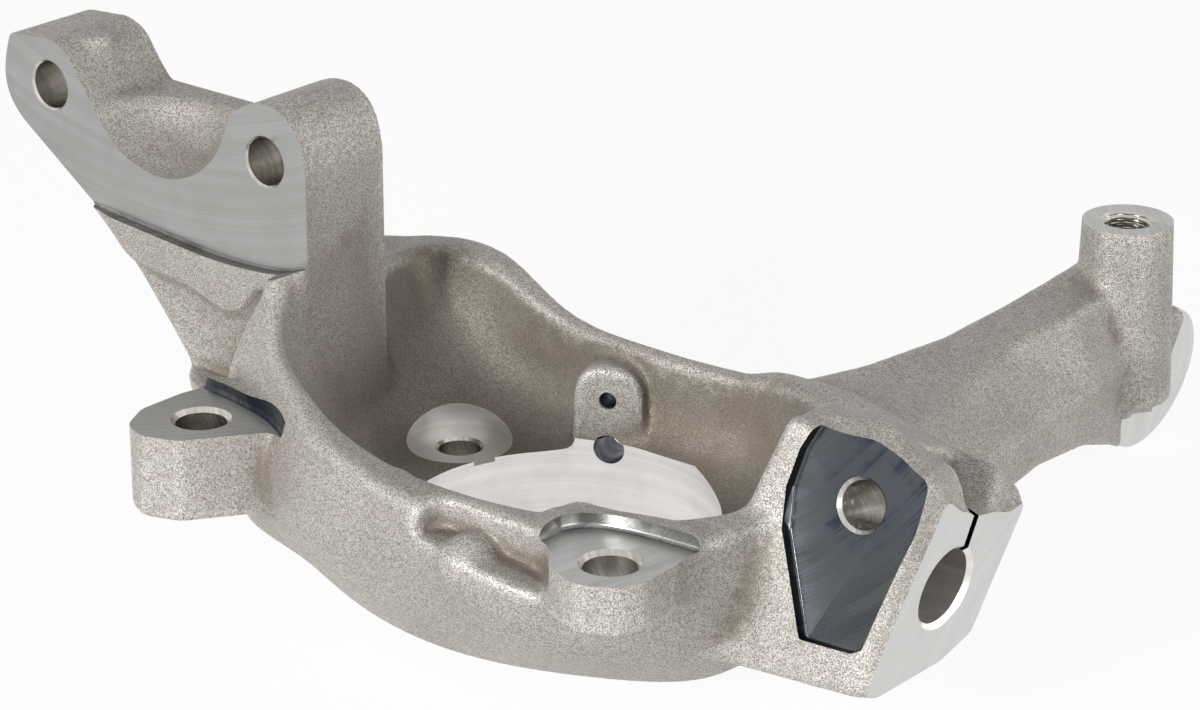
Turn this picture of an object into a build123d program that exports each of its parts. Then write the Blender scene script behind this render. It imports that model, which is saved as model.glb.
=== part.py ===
"""Front steering knuckle of a strut suspension: one aluminium casting with machined seats.

Millimetres. The origin is the centre of the hub bore on the hub face. +Z runs inboard along the
wheel axis, +X runs towards the ball-joint clamp and +Y towards the steering arm. The strut
flange is at -X and the two caliper ears are at -Y.
"""

import os
from math import cos, radians, sin, tan

from build123d import *

# Hub seat: bore, floor and the four bolts at the corners of a rectangle
hub_bore_r = 41.3
hub_bore_depth = 22.0
hub_floor_z = 18.0
hub_bolt_r = 5.75
hub_bolt_x = 51.7
hub_bolt_y = 18.8
hub_spot_r = 14.2
hub_spot_depth = 1.2

# Heights of the basin's rim
near_rim_z = 48.8
far_rim_z = 47.6
right_rim_z = 48.5
crest_z = 59.5
rim_round = 4.0
floor_round = 8.0

# Strut flange: two clearance holes in a line along X
strut_face_y = -15.0
strut_back_y = 16.0
strut_hole_r = 6.5
strut_hole_x = -128.5
strut_hole_z = 100.0
strut_hole_pitch = 81.0
strut_hole_rise = 2.0
strut_step = 2.2
flange_round = 2.0
valley_x = -128.0
valley_z = 112.3
valley_r = 27.6
valley_back_y = 9.0

# Caliper ears: two clearance holes in a line along X
ear_top_z = 46.0
left_ear_bottom_z = 23.5
caliper_hole_r = 6.6
caliper_hole_x = -0.5
caliper_hole_y = -60.5
caliper_pitch = 135.0
right_ear_bottom_z = 33.0
ear_round = 4.0

# Wheel-speed sensor pad on the far wall
sensor_angle = 112.5
sensor_face_r = 41.0
sensor_pad_w = 19.0
sensor_pad_top_z = 43.0
sensor_bore_r = 4.3
sensor_bore_z = 19.6
sensor_screw_r = 2.1
sensor_screw_z = 33.8

# Ledge in the near wall
ledge_z = 39.5
ledge_back_y = -62.0
ledge_x0 = 14.0
ledge_x1 = 60.0
ledge_round = 6.0
button_x = 29.5
button_y = -64.5
button_r = 6.5
button_h = 1.3

# Ball-joint clamp, in its own frame: across, up and outward along the stud bore
clamp_face = Vector(120.1, 0.0, 33.7)
clamp_out = Vector(0.986, 0.010, -0.160)
clamp_side = Vector(-0.050, 0.965, -0.258)
clamp_depth = 46.0
stud_bore_r = 9.8
stud_bore_depth = 38.0
slit_depth = 40.0
slit_w = 2.4
slit_x = 3.0
slit_height = 40.0
groove_depth = 17.5
groove_round = 2.5
pinch_face_reach = 19.4
pinch_hole_r = 6.0
pinch_hole_back = 18.0
pinch_hole_up = 15.2

# Steering arm, damper post and tie-rod boss
post_x = 57.0
post_y = 173.0
post_top_z = 63.7
post_top_r = 12.5
post_bottom_z = 12.0
post_draft = 2.0
post_thread_r = 6.2
post_thread_depth = 30.0
boss_center = Vector(58.0, 188.3, 12.2)
boss_r = 21.1
boss_length = 24.0
tie_rod_r = 7.4
tie_rod_slope = 0.05

clamp_plane = Plane(origin=clamp_face, x_dir=clamp_side, z_dir=clamp_out)
pinch_plane = Plane(origin=clamp_face - clamp_side * pinch_face_reach, x_dir=clamp_out, z_dir=-clamp_side)
boss_plane = Plane(origin=boss_center, z_dir=clamp_out)

# Plan outlines of the cast body and of its cavity at a few heights, right end first, near side next
body_outlines = [
    (0.0, [(66.5, 0), (64.5, -22), (46, -37), (6, -50), (-34, -43.4), (-57, -34.8), (-76, -30), (-92, -22),
           (-96, 4), (-84, 24), (-62, 38), (-34, 46), (5, 50.5), (42, 40), (62, 24)]),
    (18.0, [(78, -3), (76, -31), (58, -58), (12, -64), (-29, -60), (-54, -50), (-82, -35), (-104, -19.5),
            (-108, 6), (-99, 29), (-81, 45.5), (-39, 50.2), (5, 51), (47, 48), (74, 29)]),
    (38.0, [(83, -5), (80, -36), (60, -67.5), (16, -70.5), (-26, -65), (-53, -54.5), (-85, -36), (-119, -18.5),
            (-122, 8), (-109, 32), (-90, 50), (-43, 51), (6, 51), (52, 51), (78, 31)]),
    (74.0, [(90, -8), (84, -38), (58, -57), (16, -60), (-18, -54), (-60, -30), (-100, -19), (-151, -17.5),
            (-154, 14), (-132, 34), (-100, 54), (-50, 55), (8, 51), (56, 54), (82, 34)]),
]
cavity_outlines = [
    (hub_floor_z, [(66, 0), (60, -26), (36, -43), (0, -46), (-34, -44), (-58, -30), (-67, -6), (-70, 18),
                   (-56, 36), (-30, 43.5), (4, 44), (38, 42), (60, 26)]),
    (48.0, [(76, -10), (66, -34), (43, -50), (12, -56), (-20, -53.5), (-50, -42), (-70, -23), (-77, 14),
            (-80, 38), (-52, 45), (2, 45), (42, 44), (67, 22)]),
    (76.0, [(84, -14), (72, -42), (48, -58), (16, -64), (-14, -58), (-49, -45), (-72.5, -26), (-77, 14),
            (-86, 42), (-54, 47), (2, 46), (46, 46), (72, 22)]),
]


# Cast body: one smooth loft that holds the basin and the foot of the strut arm
with BuildPart() as body:
    for height, points in body_outlines:
        with BuildSketch(Plane.XY.offset(height)):
            with BuildLine():
                Spline(*points, periodic=True)
            make_face()
    loft()

# Cavity of the basin, with the fillet round its floor
with BuildPart() as cavity:
    for height, points in cavity_outlines:
        with BuildSketch(Plane.XY.offset(height)):
            with BuildLine():
                Spline(*points, periodic=True)
            make_face()
    loft()
    fillet(cavity.edges().filter_by(GeomType.BSPLINE).group_by(Axis.Z)[0], floor_round)

# What the rim stands below: a profile for the near wall and one for the far wall
with BuildPart() as near_clearance:
    with BuildSketch(Plane.XZ):
        with BuildLine():
            top = Line((150, 95), (-75, 95))
            left = Line(top @ 1, (-75, 72))
            slope = Spline(left @ 1, (-66, 63), (-50, 58), (-30, 53.5), (-8, 50.2), (20, near_rim_z), (60, right_rim_z),
                           (150, right_rim_z))
            Line(slope @ 1, top @ 0)
        make_face()
    extrude(amount=100)

with BuildPart() as far_clearance:
    with BuildSketch(Plane.XZ):
        with BuildLine():
            top = Line((150, 95), (-170, 95))
            left = Line(top @ 1, (-170, crest_z - 2))
            shelf = Line(left @ 1, (-98, crest_z - 2))
            slope = Spline(shelf @ 1, (-78, crest_z), (-65, crest_z - 1), (-42, 50.4), (-14, far_rim_z),
                           (20, far_rim_z - 0.7), (60, right_rim_z), (150, right_rim_z))
            Line(slope @ 1, top @ 0)
        make_face()
    extrude(amount=-100)

# Strut flange: front outline with both lugs, less the valley between them
with BuildPart() as flange:
    with BuildSketch(Plane.XZ.offset(-strut_face_y + strut_step)):
        with BuildLine():
            foot = Polyline((-73.4, 30), (-86, 32), (-112, 42), (-136, 58), (-151, 70), (-176, 87))
            corner = ThreePointArc(foot @ 1, (-186.2, 98), (-184, 114))
            roof = Line(corner @ 1, (-169, 115.2))
            brow = ThreePointArc(roof @ 1, (-158, 108), (-152.5, 100.2))
            saddle = Line(brow @ 1, (-108, 100.2))
            lug = Line(saddle @ 1, (-101, 107.5))
            crown = ThreePointArc(lug @ 1, (-85, 113.6), (-73.4, 98))
            Line(crown @ 1, foot @ 0)
        make_face()
    extrude(amount=-(strut_back_y - strut_face_y + strut_step))
    chamfer(flange.edges().group_by(Axis.Y)[-1].filter_by(lambda e: e.center().Z > 60), flange_round)

# Valley between the lugs: a bowl that ends before the back of the flange
with BuildPart() as valley:
    with Locations((valley_x, valley_back_y - valley_r, valley_z)):
        Sphere(valley_r)

# Clamp block: it swells from the milled face back to the basin, with a hump over the pinch seat
clamp_sections = [
    (0.0, [(-12.5, 23.3), (-8, 21), (-4.8, 19.5), (19.3, 17.4), (25.5, 21), (20.1, -13.8), (9.4, -20.2), (-16, -26.8),
           (-21.5, -26)]),
    (7.0, [(-22, 28), (-14, 30), (-3, 28.5), (20, 27.3), (27.8, 23), (21, -14), (9.5, -22.5), (-14, -29),
           (-22.2, -28)]),
    (20.0, [(-22.5, 31), (-15.5, 35.5), (-3, 30), (20, 26.5), (29, 22), (22.5, -15), (10.5, -25.5), (-11, -31.5),
            (-22.5, -31)]),
    (clamp_depth, [(-23, 28), (-14, 29), (-3, 28), (24, 26), (32, 20), (25, -18), (12, -31), (-6, -37), (-23, -36.5)]),
]
with BuildPart() as clamp:
    for depth, points in clamp_sections:
        with BuildSketch(clamp_plane.offset(-depth)):
            with BuildLine():
                Polyline(*points, close=True)
            make_face()
    loft(ruled=True)

# Groove over the slit, open to the milled face
with BuildPart() as groove:
    with BuildSketch(clamp_plane):
        with BuildLine():
            Polyline((-0.5, 40), (-0.5, 21), (2, 18.6), (9, 19.5), (18, 27.5), (18, 40), close=True)
        make_face()
        fillet(vertices().sort_by(Axis.Z)[:3], groove_round)
    extrude(amount=-groove_depth)

# Steering arm: four sections that taper towards the tie-rod boss
arm_sections = [
    (40.0, [(24, 46), (78, 48), (94, 32), (92, 12), (40, 10)]),
    (80.0, [(37, 45.5), (66, 45.5), (80, 30), (76, 13), (44, 13)]),
    (108.0, [(41, 45.5), (60, 45.5), (75, 28), (74, 15.5), (46, 13)]),
    (140.0, [(41, 46.4), (61, 46.4), (71, 28), (68, 9.5), (44, 8)]),
    (172.0, [(41, 48.6), (60, 47), (64, 28), (60, -3), (42, -3)]),
]
with BuildPart() as arm:
    for y, points in arm_sections:
        with BuildSketch(Plane.XZ.offset(-y)):
            with BuildLine():
                Polyline(*points, close=True)
            make_face()
    loft(ruled=True)

with BuildPart() as post:
    with BuildSketch(Plane.XY.offset(post_bottom_z)):
        with Locations((post_x, post_y)):
            Circle(post_top_r + (post_top_z - post_bottom_z) * tan(radians(post_draft)))
    with BuildSketch(Plane.XY.offset(post_top_z)):
        with Locations((post_x, post_y)):
            Circle(post_top_r)
    loft()

with BuildPart() as boss:
    with BuildSketch(boss_plane):
        Circle(boss_r)
    extrude(amount=-boss_length)

with BuildPart() as boss_spot:
    with BuildSketch(boss_plane):
        Circle(boss_r)
    extrude(amount=boss_length)

# Caliper ears, rounded underneath; the right one stands on the swell of the body
ear_outlines = [
    (left_ear_bottom_z, [(-44, -44), (-45, -51), (-62, -74.8), (-72, -78.4), (-79.5, -75), (-84, -66), (-83.8, -52),
                         (-81, -40)]),
    (right_ear_bottom_z, [(40, -42), (41, -52), (57.5, -71.5), (68, -75), (77, -71), (80, -64), (79.8, -52),
                          (76, -38)]),
]
with BuildPart() as ears:
    for bottom, points in ear_outlines:
        with BuildSketch(Plane.XY.offset(bottom)):
            with BuildLine():
                Polyline(*points, close=True)
            make_face()
            fillet(vertices().sort_by(Axis.Y)[:-2], ear_round)
        extrude(amount=ear_top_z - bottom)
        fillet(ears.edges().filter_by_position(Axis.Z, bottom - 0.1, bottom + 0.1), ear_round - 1)

# Seats milled into the body above the ears
with BuildPart() as ear_seats:
    with BuildSketch(Plane.XY.offset(ear_top_z)):
        with BuildLine():
            left_back = ThreePointArc((-90, -42), (-68, -46.5), (-43, -55))
            Polyline(left_back @ 1, (-46, -95), (-100, -95), left_back @ 0)
        make_face()
        with BuildLine():
            right_back = ThreePointArc((41, -52), (58, -43.5), (79, -41))
            Polyline(right_back @ 1, (90, -80), (41, -80), right_back @ 0)
        make_face()
    extrude(amount=12)

# Ledge in the near wall
with BuildPart() as ledge:
    with BuildSketch(Plane.XY.offset(ledge_z)):
        with BuildLine():
            Polyline((ledge_x0, ledge_back_y), (ledge_x1, ledge_back_y), (ledge_x1, -90), (ledge_x0, -90), close=True)
        make_face()
    extrude(amount=15)
    fillet(ledge.edges().filter_by(Axis.Z).group_by(Axis.Y)[-1].sort_by(Axis.X)[0], ledge_round)
    fillet(ledge.edges().group_by(Axis.Z)[0].filter_by(lambda e: e.center().Y > -89), 2.5)

# Sensor pad on the far wall
pad_dir = Vector(-cos(radians(sensor_angle)), -sin(radians(sensor_angle)), 0)
pad_plane = Plane(origin=-pad_dir * sensor_face_r, x_dir=Vector(-pad_dir.Y, pad_dir.X, 0), z_dir=pad_dir)
with BuildPart() as pad:
    with BuildSketch(pad_plane):
        with Locations((0, (hub_floor_z - 2 + sensor_pad_top_z) / 2)):
            RectangleRounded(sensor_pad_w, sensor_pad_top_z - hub_floor_z + 2, sensor_pad_w / 2 - 1)
    extrude(amount=-9)

with BuildPart() as knuckle:
    add(body.part)
    add(near_clearance.part, mode=Mode.SUBTRACT)
    add(far_clearance.part, mode=Mode.SUBTRACT)
    add(cavity.part, mode=Mode.SUBTRACT)
    fillet(knuckle.edges().filter_by(lambda e: e.length > 150).sort_by(Axis.Y)[0], rim_round)
    add(clamp.part)
    add(arm.part)
    add(ears.part)
    add(cavity.part, mode=Mode.SUBTRACT)
    add(flange.part)
    add(pad.part)
    add(ear_seats.part, mode=Mode.SUBTRACT)
    add(ledge.part, mode=Mode.SUBTRACT)
    add(valley.part, mode=Mode.SUBTRACT)
    add(groove.part, mode=Mode.SUBTRACT)
    add(post.part)
    add(boss_spot.part, mode=Mode.SUBTRACT)
    add(boss.part)
    # Round button on the ledge
    with BuildSketch(Plane.XY.offset(ledge_z - 3)):
        with Locations((button_x, button_y)):
            Circle(button_r)
    extrude(amount=button_h + 3)
    # Machined flat of the strut flange
    with BuildSketch(Plane.XZ.offset(-strut_face_y)):
        with BuildLine():
            step = Spline((-156, 70.5), (-132, 68), (-102, 67), (-88, 68.5), (-72, 72.5))
            Polyline(step @ 1, (-60, 130), (-200, 130), (-200, 70.5), step @ 0)
        make_face()
    extrude(amount=20, mode=Mode.SUBTRACT)
    with BuildSketch(Plane.XZ.offset(-strut_face_y)):
        with Locations((strut_hole_x, strut_hole_z)):
            with Locations((-strut_hole_pitch / 2, strut_hole_rise), (strut_hole_pitch / 2, -strut_hole_rise)):
                Circle(strut_hole_r)
    extrude(amount=-40, mode=Mode.SUBTRACT)
    # Hub bore, bolt holes and their spot faces
    with BuildSketch(Plane.XY):
        Circle(hub_bore_r)
    extrude(amount=hub_bore_depth, mode=Mode.SUBTRACT)
    with BuildSketch(Plane.XY):
        with GridLocations(2 * hub_bolt_x, 2 * hub_bolt_y, 2, 2):
            Circle(hub_bolt_r)
    extrude(amount=hub_floor_z + 10, mode=Mode.SUBTRACT)
    with BuildSketch(Plane.XY.offset(hub_floor_z - hub_spot_depth)):
        with GridLocations(2 * hub_bolt_x, 2 * hub_bolt_y, 2, 2):
            Circle(hub_spot_r)
    extrude(amount=30, mode=Mode.SUBTRACT)
    # Caliper holes
    for side, bottom in ((-1, left_ear_bottom_z), (1, right_ear_bottom_z)):
        with BuildSketch(Plane.XY.offset(ear_top_z)):
            with Locations((caliper_hole_x + side * caliper_pitch / 2, caliper_hole_y)):
                Circle(caliper_hole_r)
        extrude(amount=-(ear_top_z - bottom + ear_round), mode=Mode.SUBTRACT)
    # Clamp: pinch seat, stud bore, slit and pinch hole
    with BuildSketch(pinch_plane):
        with BuildLine():
            Polyline((-33.2, 30.5), (-3, 31.5), (-0.6, 21.7), (-6.8, -15.8), (-21, -20.4), (-25.8, -12.7),
                     (-37.3, 5.5), close=True)
        make_face()
    extrude(amount=20, mode=Mode.SUBTRACT)
    with BuildSketch(clamp_plane):
        Circle(stud_bore_r)
    extrude(amount=-stud_bore_depth, mode=Mode.SUBTRACT)
    with BuildSketch(clamp_plane):
        with Locations((slit_x, slit_height / 2)):
            Rectangle(slit_w, slit_height)
    extrude(amount=-slit_depth, mode=Mode.SUBTRACT)
    with BuildSketch(pinch_plane):
        with Locations((-pinch_hole_back, pinch_hole_up)):
            Circle(pinch_hole_r)
    extrude(amount=-60, mode=Mode.SUBTRACT)
    # Sensor bore and sensor screw hole through the far wall
    with BuildSketch(pad_plane):
        with Locations((0, sensor_bore_z)):
            Circle(sensor_bore_r)
        with Locations((0, sensor_screw_z)):
            Circle(sensor_screw_r)
    extrude(amount=-30, mode=Mode.SUBTRACT)
    # Tapered hole of the tie-rod boss
    with BuildSketch(boss_plane.offset(2)):
        Circle(tie_rod_r + 2 * tie_rod_slope)
    with BuildSketch(boss_plane.offset(-boss_length - 6)):
        Circle(tie_rod_r - (boss_length + 6) * tie_rod_slope)
    loft(mode=Mode.SUBTRACT)
    # Threaded hole of the post
    with BuildSketch(Plane.XY.offset(post_top_z)):
        with Locations((post_x, post_y)):
            Circle(post_thread_r)
    extrude(amount=-post_thread_depth, mode=Mode.SUBTRACT)

knuckle.part.label = "knuckle"
os.makedirs("parts", exist_ok=True)
export_step(knuckle.part, "parts/knuckle.step")
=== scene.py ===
import logging
import math
from dataclasses import dataclass, field
from enum import Enum
from typing import Callable, Optional, Sequence

import bmesh
import bpy
import numpy as np
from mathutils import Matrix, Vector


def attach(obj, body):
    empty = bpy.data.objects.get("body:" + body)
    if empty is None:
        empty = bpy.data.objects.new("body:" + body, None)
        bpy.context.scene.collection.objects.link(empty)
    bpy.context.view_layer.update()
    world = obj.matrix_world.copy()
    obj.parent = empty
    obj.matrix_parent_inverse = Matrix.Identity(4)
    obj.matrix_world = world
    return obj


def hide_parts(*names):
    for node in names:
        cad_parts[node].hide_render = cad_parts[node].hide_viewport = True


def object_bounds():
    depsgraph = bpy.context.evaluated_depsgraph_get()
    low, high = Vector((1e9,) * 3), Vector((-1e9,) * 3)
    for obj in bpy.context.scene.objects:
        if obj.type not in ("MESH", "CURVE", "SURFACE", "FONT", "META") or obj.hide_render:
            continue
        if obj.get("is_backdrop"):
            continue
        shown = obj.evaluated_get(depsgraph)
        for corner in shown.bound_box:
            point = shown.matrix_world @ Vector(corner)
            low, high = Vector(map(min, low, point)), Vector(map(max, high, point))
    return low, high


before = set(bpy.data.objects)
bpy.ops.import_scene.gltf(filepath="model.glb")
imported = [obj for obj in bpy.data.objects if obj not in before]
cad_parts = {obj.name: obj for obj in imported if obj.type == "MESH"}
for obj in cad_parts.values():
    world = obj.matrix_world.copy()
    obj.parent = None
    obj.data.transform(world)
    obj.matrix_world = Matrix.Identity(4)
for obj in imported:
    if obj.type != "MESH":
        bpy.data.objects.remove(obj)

import openvdb as vdb
from mathutils import Matrix, Vector

log = logging.getLogger("knuckle")
MM = 0.001
TINY = 1e-9
SIDE_SHARE = 0.49
POLE_TURN = 0.49
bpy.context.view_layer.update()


class Finish(Enum):
    """Surface finishes of the knuckle, in the order of its material slots."""

    CAST = 0
    MILLED = 1
    FACED = 2
    # SHADED: painted dark reflection and painted shade.
    SHADED = 3
    # STEPPED: milled metal darkened as painted shade on step walls.
    STEPPED = 4
    BORED = 5
    DRILLED = 6
    TAPPED = 7


def spline_through(knots: np.ndarray, values: np.ndarray, at: np.ndarray, closed: bool = False) -> np.ndarray:
    """Cubic spline through points.

    Args:
        knots: Rising parameters, one per value, with one more at the end when the curve is closed.
        values: Points, one row each.
        at: Parameters to read the curve at.
        closed: Whether the curve returns to its first point.

    Returns:
        One row per parameter.
    """
    values = np.asarray(values, float)
    if closed:
        values = np.vstack([values, values[:1]])
    count = len(knots)
    span = np.diff(knots)
    slope = np.diff(values, axis=0) / span[:, None]
    system = np.zeros((count, count))
    right = np.zeros_like(values)
    for i in range(1, count - 1):
        system[i, i - 1:i + 2] = span[i - 1], 2 * (span[i - 1] + span[i]), span[i]
        right[i] = 6 * (slope[i] - slope[i - 1])
    if closed:
        system[0, 0], system[0, -1] = 1, -1
        system[-1, 0], system[-1, 1] = 2 * span[0], span[0]
        system[-1, -2], system[-1, -1] = span[-1], 2 * span[-1]
        right[-1] = 6 * (slope[0] - slope[-1])
    else:
        system[0, 0] = system[-1, -1] = 1
    bend = np.linalg.solve(system, right)
    i = np.clip(np.searchsorted(knots, at, side="right") - 1, 0, count - 2)
    t = (at - knots[i])[:, None]
    h = span[i][:, None]
    return (values[i] + t * (slope[i] - h * (2 * bend[i] + bend[i + 1]) / 6) + t * t * bend[i] / 2
            + t ** 3 * (bend[i + 1] - bend[i]) / (6 * h))


def running_length(points: np.ndarray) -> np.ndarray:
    """Length along a polyline at each of its points."""
    return np.concatenate([[0], np.cumsum(np.linalg.norm(np.diff(points, axis=0), axis=1))])


def closed_curve(points: Sequence[tuple], per_span: int = 8) -> np.ndarray:
    """Smooth closed curve through plan points.

    Args:
        points: Plan points, in order.
        per_span: Samples between one point and the next.

    Returns:
        One row per sample.
    """
    pts = np.asarray(points, float)
    knots = running_length(np.vstack([pts, pts[:1]]))
    at = np.concatenate([np.linspace(a, b, per_span, endpoint=False) for a, b in zip(knots, knots[1:])])
    return spline_through(knots, pts, at, closed=True)


def open_curve(points: Sequence[tuple], per_span: int = 8) -> list:
    """Smooth open curve through plan points.

    Args:
        points: Plan points, in order.
        per_span: Samples between one point and the next.

    Returns:
        The samples and the last point.
    """
    pts = np.asarray(points, float)
    knots = running_length(pts)
    at = np.concatenate([np.linspace(a, b, per_span, endpoint=False) for a, b in zip(knots, knots[1:])]
                        + [knots[-1:]])
    return list(map(tuple, spline_through(knots, pts, at)))


def disc(radius: float, sides: int = 96) -> np.ndarray:
    """Plan outline of a circle."""
    turn = np.linspace(0, 2 * math.pi, sides, endpoint=False)
    return radius * np.stack([np.cos(turn), np.sin(turn)], 1)


def rounded(plan: Sequence[tuple], radius: float, steps: int = 6) -> np.ndarray:
    """Plan outline with its corners rounded.

    Args:
        plan: Corners of the outline.
        radius: Radius of each corner, less where its sides are short.
        steps: Points along each corner.

    Returns:
        The outline.
    """
    pts = np.asarray(plan, float)
    out = []
    for i, corner in enumerate(pts):
        back, ahead = pts[i - 1] - corner, pts[(i + 1) % len(pts)] - corner
        back_len, ahead_len = np.linalg.norm(back), np.linalg.norm(ahead)
        half = 0.5 * math.acos(float(np.clip(back @ ahead / back_len / ahead_len, -1, 1)))
        cut = min(radius / math.tan(half), SIDE_SHARE * back_len, SIDE_SHARE * ahead_len)
        start, end = corner + back / back_len * cut, corner + ahead / ahead_len * cut
        for t in np.linspace(0, 1, steps):
            out.append((1 - t) ** 2 * start + 2 * t * (1 - t) * corner + t * t * end)
    return np.array(out)


def signed_area(plan: np.ndarray) -> float:
    """Area of a plan outline, positive when it runs anticlockwise."""
    x, y = plan[:, 0], plan[:, 1]
    return 0.5 * float(np.sum(x * np.roll(y, -1) - np.roll(x, -1) * y))


def inset(plan: np.ndarray, distance: float) -> np.ndarray:
    """Plan outline moved inwards along the mean normal of each corner.

    Args:
        plan: Corners of the outline.
        distance: How far to move.

    Returns:
        The smaller outline.
    """
    ahead = np.roll(plan, -1, axis=0) - plan
    ahead /= np.linalg.norm(ahead, axis=1)[:, None] + TINY
    tangent = ahead + np.roll(ahead, 1, axis=0)
    tangent /= np.linalg.norm(tangent, axis=1)[:, None] + TINY
    normal = np.stack([-tangent[:, 1], tangent[:, 0]], 1) * (1 if signed_area(plan) > 0 else -1)
    return plan + normal * distance


@dataclass(frozen=True)
class Axes:
    """A plane to draw on: its origin and two directions. Solids grow along the third, z."""

    origin: Vector
    x: Vector = Vector((1, 0, 0))
    y: Vector = Vector((0, 1, 0))

    @property
    def z(self) -> Vector:
        """Normal of the plane."""
        return self.x.cross(self.y)

    def place(self, plan: np.ndarray, height: float) -> np.ndarray:
        """Space points of plan points at a height over the plane."""
        return (np.array(self.origin) + plan[:, :1] * np.array(self.x) + plan[:, 1:2] * np.array(self.y)
                + height * np.array(self.z))

    def moved(self, x: float, y: float, z: float = 0.0) -> "Axes":
        """The same plane with its origin moved along its own directions."""
        return Axes(self.origin + x * self.x + y * self.y + z * self.z, self.x, self.y)


GROUND = Axes(Vector((0, 0, 0)))
UPRIGHT = Axes(Vector((0, 0, 0)), Vector((1, 0, 0)), Vector((0, 0, 1)))


@dataclass
class Shell:
    """A closed surface in millimetres: points, triangles and how many triangles are its sides."""

    points: np.ndarray
    triangles: np.ndarray
    sides: int


def cap_triangles(plan: np.ndarray, upwards: bool) -> np.ndarray:
    """Triangles that fill a plan outline, facing up or down.

    Args:
        plan: Corners of the outline.
        upwards: Whether they face up.

    Returns:
        Corner numbers, one row per triangle.
    """
    mesh = bpy.data.meshes.new("cap")
    mesh.from_pydata([(x, y, 0) for x, y in plan], [], [range(len(plan))])
    mesh.calc_loop_triangles()
    cap = np.array([t.vertices[:] for t in mesh.loop_triangles])
    bpy.data.meshes.remove(mesh)
    return cap if (signed_area(plan) > 0) == upwards else cap[:, ::-1]


def stack(rings: Sequence[np.ndarray], first: np.ndarray, last: np.ndarray) -> Shell:
    """Closes rings of as many points into a solid.

    Args:
        rings: Space points of each ring, lowest first.
        first: Plan points of the lowest ring.
        last: Plan points of the highest ring.

    Returns:
        The closed surface.
    """
    n = len(rings[0])
    here = np.arange(n)
    after = np.roll(here, -1)
    sides = []
    for k in range(len(rings) - 1):
        low, high = k * n, (k + 1) * n
        sides.append(np.stack([low + here, low + after, high + after], 1))
        sides.append(np.stack([low + here, high + after, high + here], 1))
    sides = np.vstack(sides)
    if signed_area(first) < 0:
        sides = sides[:, ::-1]
    caps = [cap_triangles(first, False), (len(rings) - 1) * n + cap_triangles(last, True)]
    return Shell(np.vstack(rings), np.vstack([sides] + caps), len(sides))


def prism(plan: Sequence[tuple], axes: Axes, low: float, high: float) -> Shell:
    """A straight solid over a plan outline."""
    plan = np.asarray(plan, float)
    return stack([axes.place(plan, low), axes.place(plan, high)], plan, plan)


def pocket(plan: Sequence[tuple], axes: Axes, floor: float, top: float, radius: float,
           steps: int = 5) -> Shell:
    """The space that an end mill with a corner radius clears above a floor.

    Args:
        plan: Outline that is cleared.
        axes: Plane that the heights are measured from.
        floor: Height of the floor.
        top: Height of the open end.
        radius: Corner radius of the mill.
        steps: Rings round the corner.

    Returns:
        The cleared space.
    """
    plan = np.asarray(plan, float)
    rings, plans = [], []
    for turn in np.linspace(0, math.pi / 2, steps):
        plans.append(inset(plan, radius * (1 - math.sin(turn))))
        rings.append(axes.place(plans[-1], floor + radius * (1 - math.cos(turn))))
    rings.append(axes.place(plan, top))
    return stack(rings, plans[0], plan)


def loft(sections: Sequence[tuple], step: float = 2.0) -> Shell:
    """A smooth solid through plan outlines at rising heights.

    Args:
        sections: Pairs of a height and its outline.
        step: Most height between two rings.

    Returns:
        The solid.
    """
    heights = np.array([height for height, _ in sections], float)
    curves = np.array([closed_curve(points) for _, points in sections])
    at = np.linspace(heights[0], heights[-1], int((heights[-1] - heights[0]) / step) + 1)
    plans = spline_through(heights, curves.reshape(len(sections), -1), at).reshape(len(at), -1, 2)
    return stack([GROUND.place(plan, z) for plan, z in zip(plans, at)], plans[0], plans[-1])


def ruled(sections: Sequence[tuple], plane_at: Callable[[float], Axes]) -> Shell:
    """A solid with straight rules between outlines drawn on planes."""
    plans = [np.asarray(points, float) for _, points in sections]
    return stack([plane_at(at).place(plan, 0) for (at, _), plan in zip(sections, plans)], plans[0], plans[-1])


def turned(profile: Sequence[tuple], axes: Axes, sides: int = 96) -> Shell:
    """A solid turned about the plane's normal from (radius, height) pairs, lowest first."""
    plans = [disc(radius, sides) for radius, _ in profile]
    return stack([axes.place(plan, height) for plan, (_, height) in zip(plans, profile)], plans[0], plans[-1])


def ball(radius: float, axes: Axes, rings: int = 25, sides: int = 64) -> Shell:
    """A ball round the plane's origin, with a small flat at each pole."""
    turns = np.linspace(-POLE_TURN, POLE_TURN, rings) * math.pi
    return turned([(radius * math.cos(t), radius * math.sin(t)) for t in turns], axes, sides)


def threaded(minor: float, deep: float, pitch: float, low: float, high: float, mouth: float,
             axes: Axes) -> Shell:
    """A tapped hole with a real helix.

    Args:
        minor: Radius between the threads' crests.
        deep: Depth of the thread.
        pitch: Rise of one turn.
        low: Height of the hole's end.
        high: Height of its mouth.
        mouth: Radius of the chamfer at the mouth.
        axes: Plane square to the hole.

    Returns:
        The space inside the hole.
    """
    sides, per_turn, over = 72, 10, 1.0
    crest, flank = 1.25, 1.5
    turn = np.arange(sides) / sides
    rings, plans = [], []
    for z in np.arange(low, high + over, pitch / per_turn):
        phase = (z / pitch - turn) % 1.0
        groove = np.clip(crest - np.abs(2 * phase - 1) * flank, 0, 1)
        radius = np.maximum(minor + deep * groove, mouth - (high - z))
        plans.append(disc(1.0, sides) * radius[:, None])
        rings.append(axes.place(plans[-1], z))
    return stack(rings, plans[0], plans[-1])


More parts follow.
